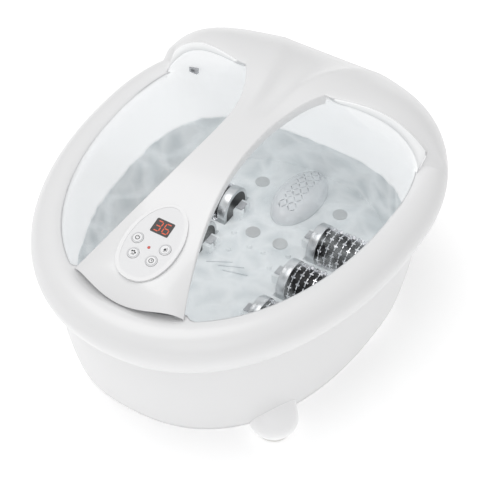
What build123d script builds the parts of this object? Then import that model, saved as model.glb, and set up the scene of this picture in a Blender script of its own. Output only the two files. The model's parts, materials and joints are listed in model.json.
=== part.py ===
"""Electric foot spa basin with a console bridge, a rear splash hood and six massage rollers.

Frame: millimetres, +Z up, origin on the standing surface below the middle of the plan box.
The user sits at -Y; the hood stands at +Y; +X is the user's right.
"""
from build123d import *
import math
import os

os.makedirs("parts", exist_ok=True)

# ---------------------------------------------------------------- driving dimensions
EGG_Y = 41.7                # where the egg-shaped plan is widest
RIM_HALF = 172.8            # rim centre line: half width, length forward, length back
RIM_FRONT = 258.0
RIM_REAR = 174.6
RIM_FRONT_POWER = 2.12
RIM_REAR_POWER = 2.34
RIM_Z = 163.5               # height of the rim's widest line
RIM_RADIUS = 23.6           # how far the rolled rim stands out from its centre line
RIM_TOP = RIM_Z + RIM_RADIUS
LIP_INSET = 9.5             # from the rim's centre line in to the mouth of the basin
COLLAR_LOW_Z = 126.0        # lower edge of the collar band
COLLAR_LOW_OUT = 5.0
WALL = 3.0                  # moulded wall thickness

BASE_Z = 14.3               # lower edge of the body wall
BASE_HALF = 161.8
BASE_FRONT = 237.8
BASE_REAR = 160.0
BASE_POWER = 2.35
BODY_TOP_OUT = 0.5          # body wall under the collar, out from the rim's centre line
BODY_TOP_Z = 150.0
BASE_FLANGE = 12.0          # inward flange that carries the base plate
BODY_BULGE = 4.5            # swell of the body wall at its middle height
BODY_MIDDLE_Z = (BASE_Z + BODY_TOP_Z) / 2

FLOOR_Z = 41.0              # top of the basin floor
TUB_FLOOR_HALF = 136.0
TUB_FLOOR_FRONT = 216.0
TUB_FLOOR_REAR = 153.0
TUB_TOP_REAR = 97.0         # the back wall leans forward as it rises
TUB_TOP_Z = RIM_TOP - WALL
TUB_HALF = RIM_HALF - LIP_INSET
TUB_FRONT_POWER = 2.15
TUB_REAR_POWER = 2.5        # rounder at the floor, squarer at the top
TUB_TOP_POWER = 4.5
TUB_BULGE = 7.0             # swell of the basin wall

WAIST_Y = 5.0               # the bridge is narrowest here
WAIST_HALF = 21.5
APRON_Y = -190.0
APRON_HALF = 63.0
FLARE_Y = 101.0
FLARE_HALF = 46.0
DECK_Z = 244.0              # top of the bridge at its edges
DECK_FRONT_DROP = 54.0
DECK_PEAK_Y = -9.0
DECK_END_Y = -185.0         # where the front drop is complete
APRON_TIP = 16.0            # bow of the apron's front edge
APRON_TIP_Z = 187.0
CROWN_BACK_Y = -90.0        # the apron's crown ends here
PANEL_FOOT_Y = -184.0       # the deck falls away in front of the panel
DECK_SKIRT = 11.0           # depth of the bridge's side walls
SKIRT_INSET = 0.3
VALLEY_DEPTH = 9.0          # channel between the two hood lobes
VALLEY_START_Y = 25.0
VALLEY_HALF = 12.0
VALLEY_FLARE = 45.0

HOOD_LIP_Y = 104.0          # hood lip beside the bridge
HOOD_LIP_HALF = 57.0
HOOD_LIP_Z = 249.0
JOIN = 1.5                  # bridge and hood meet this far behind the lip
HOOD_END_HALF = 153.0       # hood lip where it meets the rim
HOOD_LIP_SWEEP = 0.23
HOOD_END_Z = 191.0
HOOD_SPREAD = 1.19          # radians; how far round the hood reaches toward its ends
HOOD_ROUND = 0.625          # how full the hood's fall toward the rim is
HOOD_END_ANGLE = 0.42       # egg angle where the hood's end meets the rim
LINER_GAP = 2.2             # between the hood's skin and the liner below it
LINER_SPREAD = 1.47         # radians; how far the liner reaches toward its ends
STRIP_SPAN = (0.385, 0.97)  # share of the lip's half width that a strip covers
STRIP_HEIGHT = 13.0
STRIP_THICK = 2.2
STRIP_SEAT = -0.8           # the strips stand just in front of the liner

PANEL_Y = -140.0            # control panel: centre, slope and egg outline
PANEL_Z = 220.4
PANEL_STAND = 1.2           # panel plane above the deck's centre line
PANEL_TILT = 15.1
PANEL_HALF = 30.0
PANEL_FRONT = 45.0
PANEL_REAR = 47.0
BUTTON_RADIUS = 5.9
BUTTON_STAND = 1.4          # cap above the panel plane
CAP_HEIGHT = 3.6
BUTTON_GAP = 0.35

ROLLER_YS = (89.0, 24.5, -40.0)
ROLLER_Z = 46.0
ROLLER_INNER_X = 52.5
ROLLER_LENGTH = 68.0
ROLLER_RADIUS = 20.0        # barrel, under the studs
STUD_RADIUS = 24.0          # over the studs and the end collar
COLLAR_LENGTH = 11.0
STUD_PITCH = 7.9
STUDS_AROUND = 12
AXLE_RADIUS = 2.5

FOOT_SPOTS = ((130.5, -129.5), (-115.0, -105.0), (137.0, 57.0), (-137.0, 57.0))
FOOT_RADIUS = 26.0
PAD_HEIGHT = 5.0
PAD_RADIUS = 18.0
LEG_SHOULDER_Z = 22.0       # above this the leg leans in and merges with the wall
LEG_TOP_Z = 66.0
LEG_TOP_RADIUS = 19.0
LEG_LEAN = 24.0
INLET_RADIUS = 8.0
INLET_Z = 27.0
INLET_BORE = 3.5
SIDES = {"left": -1, "right": 1}

TROUGH_HALF_Y = 26.5        # roller troughs in the floor
TROUGH_FLOOR_Z = 21.0
TROUGH_INNER_X = 51.0
TROUGH_OUTER_X = 122.0
TROUGH_WALL = 2.2
POST_TOP_Z = 52.0           # axle posts at both ends of each roller
INNER_POST = (40.0, 50.0, 10.0)
OUTER_POST = (122.0, 127.0, 8.0)
CLIP_SIZE = (7.6, 11.6, 2.0)
CLIP_TONGUE = 3.0
DISC_RADIUS = 8.5
DISC_SPOTS = ((51.8, 146.0), (17.8, 69.6))
NUB_SPOTS = ((35.4, 57.6), (9.0, 47.6), (26.6, 31.7))
LOUVRES = ((-25.0, 10.4, 29.0), (-10.0, 11.0, 24.0), (-1.7, 5.1, 15.0))
LOUVRE_LENGTH = 30.0
LOUVRE_WIDTH = 1.8
DOME_Y = 145.0
DOME_RADIUS = 29.0          # dome: round about a level axis below the floor
DOME_END_RADIUS = 8.0
DOME_FRONT = 52.0
DOME_REAR = 48.0
DOME_TOP_Z = 60.0
DOME_SEAT_Z = 41.3
DOME_SLIT_TURN = 35.0
DOME_WALL = 2.0
SLIT_PITCH = 12.0
SLIT_LENGTH = 11.0
SLIT_WIDTH = 1.2
PLATE_THICK = 2.5
BASE_SCREW_SPOTS = ((70.0, -100.0), (60.0, 145.0))
CONSOLE_SCREW_SPOTS = ((8.0, -50.0), (8.0, 15.0))
UNDERSIDE_GAP = 0.6
SCREW_RADIUS = 1.5
HEAD_RADIUS = 3.2
HEATER_SIZE = (80.0, 90.0, 3.5)
HEATER_Y = 60.0
MOTOR_Y = -55.0
MOTOR_Z = 28.0
MOTOR_RADIUS = 9.0
MOTOR_LENGTH = 26.0
SHAFT_RADIUS = 1.2
SHAFT_CLEARANCE = 0.05
WEIGHT_RADIUS = 8.0
PUMP_SIZE = (60.0, 46.0, 17.0)
PUMP_Y = -125.0
HOSE_RADIUS = 3.0
BOARD_Y = 160.0
BUTTONS = {
    "button_power": (-16.0, -8.0),
    "button_light": (16.0, -8.0),
    "button_heat": (-10.5, -24.5),
    "button_timer": (10.5, -24.5),
}
WINDOW_SIZE = (20.5, 16.5)
WINDOW_Y = 12.4
LED_Y = -12.6
LED_RADIUS = 1.6
BOARD_LIFT = -9.6           # control board's underside, below the panel plane
BOARD_THICK = 1.6
SWITCH_HEIGHT = 1.6


# ---------------------------------------------------------------- plan curves
def egg_point(angle, half, front, rear, front_power, rear_power, centre_y=EGG_Y):
    """Point at an angle on an egg made of two half superellipses."""
    c, s = math.cos(angle), math.sin(angle)
    power, reach = (front_power, front) if s < 0 else (rear_power, rear)
    x = half * math.copysign(abs(c) ** (2 / power), c)
    y = reach * math.copysign(abs(s) ** (2 / power), s)
    return x, centre_y + y


def egg_face(z, half, front, rear, front_power=RIM_FRONT_POWER, rear_power=RIM_REAR_POWER,
             centre_y=EGG_Y, points=24):
    """Flat egg-shaped face at height z, drawn as a ring of arcs through an even number of points."""
    ring = []
    for i in range(points):
        x, y = egg_point(2 * math.pi * i / points, half, front, rear, front_power, rear_power, centre_y)
        ring.append(Vector(x, y, z))
    ring.append(ring[0])
    return Face(Wire([Edge.make_three_point_arc(*ring[i:i + 3]) for i in range(0, points, 2)]))


def rim_face(z, out):
    """Egg face that follows the rim's centre line, moved outward by out."""
    return egg_face(z, RIM_HALF + out, RIM_FRONT + out, RIM_REAR + out)


def body_face(z, out):
    """Egg face of the lower body wall at height z."""
    share = (z - BASE_Z) / (BODY_TOP_Z - BASE_Z)
    half = BASE_HALF + share * (RIM_HALF + BODY_TOP_OUT - BASE_HALF)
    front = BASE_FRONT + share * (RIM_FRONT + BODY_TOP_OUT - BASE_FRONT)
    rear = BASE_REAR + share * (RIM_REAR + BODY_TOP_OUT - BASE_REAR)
    front_power = BASE_POWER + share * (RIM_FRONT_POWER - BASE_POWER)
    rear_power = BASE_POWER + share * (RIM_REAR_POWER - BASE_POWER)
    return egg_face(z, half + out, front + out, rear + out, front_power, rear_power)


def tub_face(z, out):
    """Egg face of the basin's inner wall at height z."""
    share = (z - FLOOR_Z) / (TUB_TOP_Z - FLOOR_Z)
    bulge = TUB_BULGE * math.sin(math.pi * min(max(share, 0), 1))
    half = TUB_FLOOR_HALF + share * (TUB_HALF - TUB_FLOOR_HALF) + bulge
    front = TUB_FLOOR_FRONT + share * (RIM_FRONT - LIP_INSET - TUB_FLOOR_FRONT) + bulge
    rear = TUB_FLOOR_REAR + share * (TUB_TOP_REAR - TUB_FLOOR_REAR) + bulge
    rear_power = TUB_REAR_POWER + (TUB_TOP_POWER - TUB_REAR_POWER) * max(share, 0) ** 2
    return egg_face(z, half + out, front + out, rear + out, TUB_FRONT_POWER, rear_power)


def tub_rear_y(x):
    """Y of the basin's back wall at its top edge, at x."""
    ratio = min(abs(x) / TUB_HALF, 1.0)
    return EGG_Y + TUB_TOP_REAR * (1 - ratio ** TUB_TOP_POWER) ** (1 / TUB_TOP_POWER)


def deck_half_width(y):
    """Half width of the bridge at y."""
    if y < WAIST_Y:
        return WAIST_HALF + (APRON_HALF - WAIST_HALF) * ((WAIST_Y - y) / (WAIST_Y - APRON_Y)) ** 2
    return WAIST_HALF + (FLARE_HALF - WAIST_HALF) * ((y - WAIST_Y) / (FLARE_Y - WAIST_Y)) ** 2.6


def lip_y(x):
    """Y of the hood's lip at x."""
    return HOOD_LIP_Y + HOOD_LIP_SWEEP * max(abs(x) - HOOD_LIP_HALF, 0)


def lip_z(x):
    """Height of the hood's lip at x."""
    reach = max(abs(x) - HOOD_LIP_HALF, 0) / (HOOD_END_HALF - HOOD_LIP_HALF)
    return HOOD_LIP_Z - (HOOD_LIP_Z - HOOD_END_Z) * min(reach, 1) ** 2.4


def smooth(value):
    """Ease from 0 to 1."""
    value = min(max(value, 0.0), 1.0)
    return value * value * (3 - 2 * value)


def deck_edge_z(y):
    """Height of the bridge along its edges."""
    if y < DECK_PEAK_Y:
        return DECK_Z - DECK_FRONT_DROP * ((DECK_PEAK_Y - y) / (DECK_PEAK_Y - DECK_END_Y)) ** 2
    return DECK_Z + (HOOD_LIP_Z - DECK_Z) * smooth((y - 50.0) / 54.0)


def crown(x, y):
    """Crown of the apron: its centre line runs parallel to the control panel."""
    slope = math.tan(math.radians(PANEL_TILT))
    centre = PANEL_Z - PANEL_STAND + slope * (max(y, PANEL_FOOT_Y) - PANEL_Y)
    if y < PANEL_FOOT_Y:
        share = (PANEL_FOOT_Y - y) / (PANEL_FOOT_Y - APRON_Y + APRON_TIP)
        centre = centre - (centre - APRON_TIP_Z) * min(share, 1.0) ** 1.3
    height = max(centre - deck_edge_z(y), 0.0) if y < CROWN_BACK_Y else 0.0
    share = min(abs(x) / deck_half_width(min(y, WAIST_Y)), 1.0)
    return height * (1 - share ** 3.5)


def valley(x, y):
    """Depth of the channel that runs back between the two hood lobes."""
    half = VALLEY_HALF + VALLEY_FLARE * (max(y - 40.0, 0.0) / 162.0) ** 2
    depth = VALLEY_DEPTH * smooth((y - VALLEY_START_Y) / 75.0)
    share = min(abs(x) / half, 1.0)
    return depth * (1 - share * share)


def deck_z(x, y):
    """Height of the bridge's top surface."""
    return deck_edge_z(y) + crown(x, y) - valley(x, y)


def hood_point(across, back, lift=0.0):
    """Point on the hood: across runs -1 to 1 side to side, back 0 at the lip to 1 at the rim."""
    x0 = HOOD_END_HALF * across
    y0 = lip_y(x0)
    angle = math.pi / 2 - across * (math.pi / 2 - HOOD_END_ANGLE)
    x1, y1 = egg_point(angle, RIM_HALF + RIM_RADIUS, RIM_FRONT, RIM_REAR + RIM_RADIUS,
                       RIM_FRONT_POWER, RIM_REAR_POWER)
    x, y = x0 + (x1 - x0) * back, y0 + (y1 - y0) * back
    z = RIM_Z + (lip_z(x0) - RIM_Z) * (1 - back * back) ** HOOD_ROUND
    fade = 1 - back ** 4
    return Vector(x, y, z - valley(x, y) * fade + lift)


# ---------------------------------------------------------------- small helpers
def save(shape, name):
    export_step(shape, "parts/" + name + ".step")


def grid_face(point, us, vs):
    """Spline surface through point(u, v) over two lists of parameters."""
    return Face.make_surface_from_array_of_points([[point(u, v) for v in vs] for u in us], tol=0.05)


def steps(start, end, count):
    """Evenly spaced numbers from start to end."""
    return [start + (end - start) * i / (count - 1) for i in range(count)]


def push(face, x, y, z):
    """Solid swept by moving a face straight along a vector."""
    return Solid.extrude(face, Vector(x, y, z))


def mirrored(spots):
    """Each spot and its mirror image across the middle plane."""
    return [(side * x, y) for x, y in spots for side in (1, -1)]


def upright(radius, height):
    """Cylinder standing on z = 0."""
    return Cylinder(radius, height, align=(Align.CENTER, Align.CENTER, Align.MIN))


def rounded_box(length, width, height, radius):
    """Box with rounded upright edges, standing on z = 0."""
    return extrude(RectangleRounded(length, width, radius), amount=height)


def group(solids):
    """Several separate solids kept in one node."""
    return Compound(children=list(solids))


def panel_place(x, y, lift=0.0):
    """Location on the tilted control panel; y runs up the slope, lift stands off it."""
    return Pos(0, PANEL_Y, PANEL_Z) * Rot(PANEL_TILT, 0, 0) * Pos(x, y, lift)


def panel_plate(inset, low, high):
    """Egg-shaped plate in the panel's own tilted plane, narrow toward the back."""
    egg = egg_face(0, PANEL_HALF - inset, PANEL_FRONT - inset, PANEL_REAR - inset, 2.3, 1.9, -6.0, 20)
    return panel_place(0, 0, low) * extrude(egg, amount=high - low)


# ---------------------------------------------------------------- casings
def leg(x, y):
    """Stub leg: round at the floor, leaning in above until it is lost in the body wall."""
    inward = Vector(-x, EGG_Y - y, 0).normalized() * LEG_LEAN
    foot = Pos(x, y, PAD_HEIGHT) * upright(FOOT_RADIUS, LEG_SHOULDER_Z - PAD_HEIGHT)
    foot = fillet(foot.edges().group_by(Axis.Z)[0], 7)
    top = Pos(x + inward.X, y + inward.Y, LEG_TOP_Z) * Circle(LEG_TOP_RADIUS)
    return foot + loft([Pos(x, y, LEG_SHOULDER_Z) * Circle(FOOT_RADIUS), top])


def lower_shell():
    """Body wall with four legs, open at the top and bottom."""
    outer = [body_face(BASE_Z, 0), body_face(BODY_MIDDLE_Z, BODY_BULGE), body_face(BODY_TOP_Z, 0)]
    inner = [body_face(BASE_Z + WALL, -WALL), body_face(BODY_MIDDLE_Z, BODY_BULGE - WALL),
             body_face(BODY_TOP_Z + 1, -WALL)]
    shape = loft(outer)
    for x, y in FOOT_SPOTS:
        shape = shape + leg(x, y)
    opening = extrude(body_face(BASE_Z - 1, -WALL - BASE_FLANGE), amount=WALL + 2)
    shape = shape - loft(inner) - opening
    return shape - inlet_place() * Pos(0, 0, -WALL - 5) * upright(INLET_RADIUS, 16)


def inlet_place():
    """Location of the mains inlet: its local +Z points out square through the back wall."""
    half_height = BODY_MIDDLE_Z - BASE_Z
    off_middle = (INLET_Z - BODY_MIDDLE_Z) / half_height
    lean = (RIM_REAR + BODY_TOP_OUT - BASE_REAR) / (BODY_TOP_Z - BASE_Z)
    wall_y = EGG_Y + BASE_REAR + (INLET_Z - BASE_Z) * lean + BODY_BULGE * (1 - off_middle ** 2)
    slope = lean - 2 * BODY_BULGE * off_middle / half_height
    return Pos(0, wall_y, INLET_Z) * Rot(-90 - math.degrees(math.atan(slope)), 0, 0)


def rim_loft(radius, low_out):
    """Filled form of the rolled rim: a collar slope below, a round roll above."""
    bands = [(COLLAR_LOW_Z, low_out)]
    for degrees in (-42, -20, 0, 15, 30, 45, 60, 75, 90):
        turn = math.radians(degrees)
        bands.append((RIM_Z + radius * math.sin(turn), radius * math.cos(turn)))
    return loft([rim_face(z, out) for z, out in bands], ruled=True)


def rim_casing():
    """Rolled rim and collar band, hollow below, open in the middle."""
    mouth = extrude(rim_face(RIM_TOP - 20, -LIP_INSET), amount=40)
    foot = extrude(rim_face(COLLAR_LOW_Z - 1, COLLAR_LOW_OUT - WALL), amount=2)
    hollow = rim_loft(RIM_RADIUS - WALL, COLLAR_LOW_OUT - WALL)
    return rim_loft(RIM_RADIUS, COLLAR_LOW_OUT) - hollow - foot - mouth


def deck_point(share, y, lift=0.0, inset=0.0):
    """Point on the bridge: share runs -1 to 1 across it; its front end bows out."""
    half = deck_half_width(y) - inset
    bow = APRON_TIP * (1 - share * share) * smooth((-150.0 - y) / 40.0)
    return Vector(share * half, y - bow, deck_z(share * half, y - bow) + lift)


def deck():
    """Bridge skin with two side skirts, as far back as the hood's lip."""
    ys = steps(APRON_Y, HOOD_LIP_Y + 2 * JOIN, 15)
    across = [-1, -0.85, -0.6, -0.3, -0.15, 0, 0.15, 0.3, 0.6, 0.85, 1]
    shape = push(grid_face(lambda share, y: deck_point(share, y), across, ys), 0, 0, -WALL)
    for side in (-1, 1):
        def edge(inset, y):
            half = deck_half_width(y) - inset
            return Vector(side * half, y, deck_z(side * half, y) - WALL / 2)
        shape = shape + push(grid_face(edge, [SKIRT_INSET, WALL], ys), 0, 0, WALL / 2 - DECK_SKIRT)
    return shape


def hood():
    """Hood skin from its lip back over the rim."""
    across = [math.sin(a) for a in steps(-HOOD_SPREAD, HOOD_SPREAD, 17)]
    back = [0, 0.12, 0.25, 0.4, 0.55, 0.7, 0.8, 0.87, 0.92]
    return push(grid_face(hood_point, across, back), 0, 0, -WALL) - rim_loft(RIM_RADIUS, COLLAR_LOW_OUT)


def bridge_bosses():
    """Screw bosses under the bridge's skin."""
    bosses = []
    for x, y in mirrored(CONSOLE_SCREW_SPOTS):
        low = deck_edge_z(y) - DECK_SKIRT + PLATE_THICK + UNDERSIDE_GAP
        boss = Pos(x, y, low) * (upright(3.5, deck_z(x, y) - 1.5 - low) - upright(SCREW_RADIUS, 6))
        bosses.append(boss)
    return bosses


def console_bridge():
    """Bridge over the middle of the basin, with an opening for the control panel."""
    join_y = HOOD_LIP_Y + JOIN
    span = 2 * HOOD_END_HALF
    front = Pos(0, join_y - span / 2, DECK_Z) * Box(span, span, span)
    shape = (deck() - panel_plate(2.0, -14, 8)) & front
    for boss in bridge_bosses():
        shape = shape + boss
    return shape


def rear_hood():
    """Hood behind the bridge, which it meets across a plane just behind the lip."""
    middle = Pos(0, HOOD_LIP_Y, DECK_Z) * Box(2 * HOOD_LIP_HALF, 2 * JOIN, 2 * HOOD_END_HALF)
    return hood() - middle


def console_underside():
    """Plate that closes the bridge from below, between its skirts."""
    def point(share, y):
        x = share * (deck_half_width(y) - WALL - UNDERSIDE_GAP)
        return Vector(x, y, deck_edge_z(y) - DECK_SKIRT - 0.7 * valley(x, y))
    ys = steps(APRON_Y + 2, HOOD_LIP_Y - 2, 12)
    plate = push(grid_face(point, [-1, -0.5, 0, 0.5, 1], ys), 0, 0, PLATE_THICK)
    for x, y in mirrored(CONSOLE_SCREW_SPOTS):
        plate = plate - Pos(x, y, deck_edge_z(y) - DECK_SKIRT - 2) * upright(SCREW_RADIUS + 0.1, 10)
    return plate


def console_screws():
    """Four screws that hold the underside plate to the bridge."""
    screws = []
    for x, y in mirrored(CONSOLE_SCREW_SPOTS):
        low = deck_edge_z(y) - DECK_SKIRT
        screw = upright(HEAD_RADIUS, 1.5) + upright(SCREW_RADIUS, 7.5)
        screws.append(Pos(x, y, low - 2.4) * screw)
    return group(screws)


def liner_point(across, down):
    """Point on the liner's front face: down runs 0 at the lip to 1 at the basin's edge."""
    x0 = HOOD_END_HALF * across
    top_z = lip_z(x0) - WALL - LINER_GAP - valley(x0, lip_y(x0))
    x1 = (HOOD_END_HALF - 2) * across
    return Vector(x0 + (x1 - x0) * down, lip_y(x0) + (tub_rear_y(x1) - lip_y(x0)) * down,
                  top_z + (TUB_TOP_Z - top_z) * down)


def hood_liner():
    """Wall under the hood, from its lip down to the basin's top edge."""
    across = [math.sin(a) for a in steps(-LINER_SPREAD, LINER_SPREAD, 15)]
    wall = push(grid_face(liner_point, across, [0, 0.33, 0.67, 1]), 0, PLATE_THICK, 0)
    return wall - rim_loft(RIM_RADIUS, COLLAR_LOW_OUT)


def light_strip(side):
    """Curved insert on the liner, right under the hood's lip."""
    def point(along, down):
        across = side * (STRIP_SPAN[0] + (STRIP_SPAN[1] - STRIP_SPAN[0]) * along)
        room = lip_z(HOOD_END_HALF * across) - WALL - TUB_TOP_Z
        face = liner_point(across, min((1 + down * STRIP_HEIGHT) / room, 1.0))
        return face + Vector(0, STRIP_SEAT, 0)
    strip = push(grid_face(point, steps(0, 1, 9), [0, 0.5, 1]), 0, -STRIP_THICK, 0)
    return strip - rim_loft(RIM_RADIUS, COLLAR_LOW_OUT)


def strip_clip():
    """Small hook below the left strip."""
    spot = liner_point(-0.86, 0.82)
    hook = Pos(spot.X, spot.Y - 2.6, spot.Z) * (Box(10, 4, 7) - Pos(0, -1.5, 0) * Box(5, 3, 4))
    return hook - hood_liner()


# ---------------------------------------------------------------- basin
def trough_box(side, y, low, margin):
    """Block of one roller trough, grown by margin."""
    middle_x = side * (TROUGH_INNER_X + TROUGH_OUTER_X) / 2
    size_x = TROUGH_OUTER_X - TROUGH_INNER_X + 2 * margin
    size_y = 2 * (TROUGH_HALF_Y + margin)
    height = FLOOR_Z - low + (20 if margin == 0 else 0)
    return Pos(middle_x, y, low + height / 2) * Box(size_x, size_y, height)


def axle_post(side, y, span):
    """Post that carries one end of an axle, open at the top for the clip."""
    low_x, high_x, half_y = span
    middle_x = side * (low_x + high_x) / 2
    height = POST_TOP_Z - FLOOR_Z + 1
    post = Pos(middle_x, y, FLOOR_Z - 1 + height / 2) * Box(high_x - low_x, 2 * half_y, height)
    bore = Pos(middle_x, y, ROLLER_Z) * Rot(0, 90, 0) * Cylinder(AXLE_RADIUS, 20)
    slot = Pos(middle_x, y, ROLLER_Z + 10) * Box(20, 2 * AXLE_RADIUS, 20)
    return post - bore - slot


def tub():
    """Basin: walls, floor, roller troughs, axle posts, nubs, louvre slots and top flange."""
    heights = steps(FLOOR_Z - WALL, TUB_TOP_Z, 6)
    shape = loft([tub_face(z, WALL) for z in heights])
    flange = extrude(rim_face(TUB_TOP_Z - PLATE_THICK, -3), amount=PLATE_THICK)
    shape = shape + flange
    for side in SIDES.values():
        for y in ROLLER_YS:
            shape = shape + trough_box(side, y, TROUGH_FLOOR_Z - TROUGH_WALL, TROUGH_WALL)
    for x, y in mirrored(BASE_SCREW_SPOTS):
        boss_low = BASE_Z + WALL + 0.2
        shape = shape + Pos(x, y, boss_low) * upright(4, FLOOR_Z - 1 - boss_low)
    inner_heights = steps(FLOOR_Z, TUB_TOP_Z + 0.5, 6)
    shape = shape - loft([tub_face(z, 0) for z in inner_heights])
    for side in SIDES.values():
        for y in ROLLER_YS:
            shape = shape - trough_box(side, y, TROUGH_FLOOR_Z, 0)
            shape = shape + axle_post(side, y, INNER_POST) + axle_post(side, y, OUTER_POST)
    nub = Pos(0, 0, 1.75) * Cone(4.2, 2.0, 3.5)
    for x, y in mirrored(NUB_SPOTS):
        shape = shape + Pos(x, y, FLOOR_Z - 1) * nub
    for x, y in mirrored(DISC_SPOTS):
        shape = shape - Pos(x, y, FLOOR_Z - 2) * upright(DISC_RADIUS, 5)
    for x, y in mirrored(BASE_SCREW_SPOTS):
        shape = shape - Pos(x, y, BASE_Z) * upright(SCREW_RADIUS, 16)
    for x, y, turn in LOUVRES:
        slot = extrude(SlotOverall(LOUVRE_LENGTH, LOUVRE_WIDTH), amount=8)
        shape = shape - Pos(x, y, FLOOR_Z - 5) * Rot(0, 0, turn) * slot
    return shape


def floor_discs():
    """Four discs set into the floor."""
    return group([Pos(x, y, FLOOR_Z - 2) * upright(DISC_RADIUS, 2.8) for x, y in mirrored(DISC_SPOTS)])


def dome_form(shrink):
    """Filled dome: a lemon turned about a level axis, of which only the top stands above the floor."""
    front = (DOME_Y - DOME_FRONT + shrink, DOME_END_RADIUS)
    crest = (DOME_Y, DOME_RADIUS - shrink)
    rear = (DOME_Y + DOME_REAR - shrink, DOME_END_RADIUS)
    outline = Wire([Edge.make_three_point_arc(front, crest, rear), Edge.make_line(rear, (rear[0], 0)),
                    Edge.make_line((rear[0], 0), (front[0], 0)), Edge.make_line((front[0], 0), front)])
    turned = revolve(Face(outline), Axis.X, 360)
    return Pos(0, 0, DOME_TOP_Z - DOME_RADIUS) * Rot(0, 0, 90) * turned


def herb_dome():
    """Lift-off dome with a diamond lattice of slits in its crown."""
    span = 2 * (DOME_FRONT + DOME_REAR)
    shape = dome_form(0) - dome_form(DOME_WALL)
    shape = shape - Pos(0, DOME_Y, DOME_SEAT_Z - span / 2) * Box(span, span, span)
    for row in range(-2, 3):
        for side in (-1, 1):
            turn = DOME_SLIT_TURN * side * (-1) ** row
            spot = Pos(side * SLIT_PITCH / 2, DOME_Y + row * SLIT_PITCH, DOME_TOP_Z)
            shape = shape - spot * Rot(0, 0, turn) * Box(SLIT_WIDTH, SLIT_LENGTH, 20)
    return shape


# ---------------------------------------------------------------- rollers
def roller_place(side, y):
    """Location of a roller: its local +Z runs outward along the axle."""
    return Pos(side * ROLLER_INNER_X, y, ROLLER_Z) * Rot(0, 90 * side, 0)


def roller_core(side, y):
    """Barrel with a bore for the axle."""
    barrel = upright(ROLLER_RADIUS, ROLLER_LENGTH) - upright(AXLE_RADIUS + SHAFT_CLEARANCE, ROLLER_LENGTH)
    return roller_place(side, y) * barrel


def roller_sleeve(side, y):
    """End collar and seven studded rings that sit on the barrel."""
    collar = upright(STUD_RADIUS, COLLAR_LENGTH) - upright(ROLLER_RADIUS, COLLAR_LENGTH)
    pieces = [roller_place(side, y) * collar]
    tooth = Pos(ROLLER_RADIUS + 2.0, 0) * Rectangle(4.0, 3.0)
    for i in range(7):
        stagger = 180 / STUDS_AROUND if i % 2 else 0
        profile = Circle(ROLLER_RADIUS + 1.0)
        for k in range(STUDS_AROUND):
            profile = profile + Rot(0, 0, stagger + 360 * k / STUDS_AROUND) * tooth
        ring = extrude(profile - Circle(ROLLER_RADIUS), amount=1.8)
        pieces.append(roller_place(side, y) * Pos(0, 0, COLLAR_LENGTH + 4.0 + STUD_PITCH * i) * ring)
    return group(pieces)


def each_roller():
    """Name, side and y of every roller, front to back."""
    for side_name, side in SIDES.items():
        for number, y in enumerate(reversed(ROLLER_YS), start=1):
            yield side_name + "_" + str(number), side, y


def roller_axles():
    """Six steel pins between the axle posts."""
    length = OUTER_POST[1] - 1 - (INNER_POST[0] + 2)
    pins = []
    for name, side, y in each_roller():
        start = Pos(side * (INNER_POST[0] + 2), y, ROLLER_Z) * Rot(0, 90 * side, 0)
        pins.append(start * upright(AXLE_RADIUS, length))
    return group(pins)


def roller_clips():
    """Grey clips that close the posts over the axles."""
    clips = []
    for name, side, y in each_roller():
        middle_x = side * (INNER_POST[0] + INNER_POST[1]) / 2
        tongue = Pos(0, 0, -CLIP_TONGUE / 2) * Box(6, 2 * AXLE_RADIUS, CLIP_TONGUE)
        clip = Pos(0, 0, CLIP_SIZE[2] / 2) * Box(*CLIP_SIZE) + tongue
        clips.append(Pos(middle_x, y, POST_TOP_Z) * clip)
    return group(clips)


# ---------------------------------------------------------------- control panel
def panel_bezel():
    """Rim of the control panel: a flange on the bridge and a neck through it."""
    flange = panel_plate(0, -1.1, 1.0)
    neck = panel_plate(2.0, -6.0, -1.1)
    return flange + neck - panel_plate(4.0, -8, 4)


def panel_fascia():
    """Egg-shaped face plate with openings for the window, the buttons and the lamp."""
    plate = panel_plate(4.0, -2.0, 0.6)
    plate = plate - panel_place(0, WINDOW_Y, -4) * rounded_box(*WINDOW_SIZE, 8, 1.5)
    plate = plate - panel_place(0, LED_Y, -4) * upright(LED_RADIUS, 8)
    for x, y in BUTTONS.values():
        plate = plate - panel_place(x, y, -4) * upright(BUTTON_RADIUS + BUTTON_GAP, 8)
    return plate


def display_window():
    """Tinted window in the fascia."""
    return panel_place(0, WINDOW_Y, -1.5) * rounded_box(*WINDOW_SIZE, 2.2, 1.5)


def display_module():
    """Two-digit display behind the window."""
    body_low = BOARD_LIFT + BOARD_THICK
    return panel_place(0, WINDOW_Y, body_low) * rounded_box(24, 19, -1.5 - 0.6 - body_low, 0.8)


def button(name):
    """Round push button with a softened rim and a stem toward its switch."""
    x, y = BUTTONS[name]
    cap = Pos(0, 0, BUTTON_STAND - CAP_HEIGHT) * upright(BUTTON_RADIUS, CAP_HEIGHT)
    cap = fillet(cap.edges().group_by(Axis.Z)[-1], 0.6)
    stem = Pos(0, 0, -5.3) * upright(1.8, 4.0)
    return panel_place(x, y) * (cap + stem)


def button_switches():
    """Tact switches on the control board, one below each button."""
    switch = rounded_box(6, 6, SWITCH_HEIGHT, 0.5)
    return group([panel_place(x, y, BOARD_LIFT + BOARD_THICK) * switch for x, y in BUTTONS.values()])


def indicator_led():
    """Small red lamp."""
    lamp = upright(LED_RADIUS, 9.0)
    return panel_place(0, LED_Y, BOARD_LIFT + BOARD_THICK) * fillet(lamp.edges().group_by(Axis.Z)[-1], 0.9)


def control_board():
    """Printed board under the control panel."""
    return panel_plate(8.5, BOARD_LIFT, BOARD_LIFT + BOARD_THICK)


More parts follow.
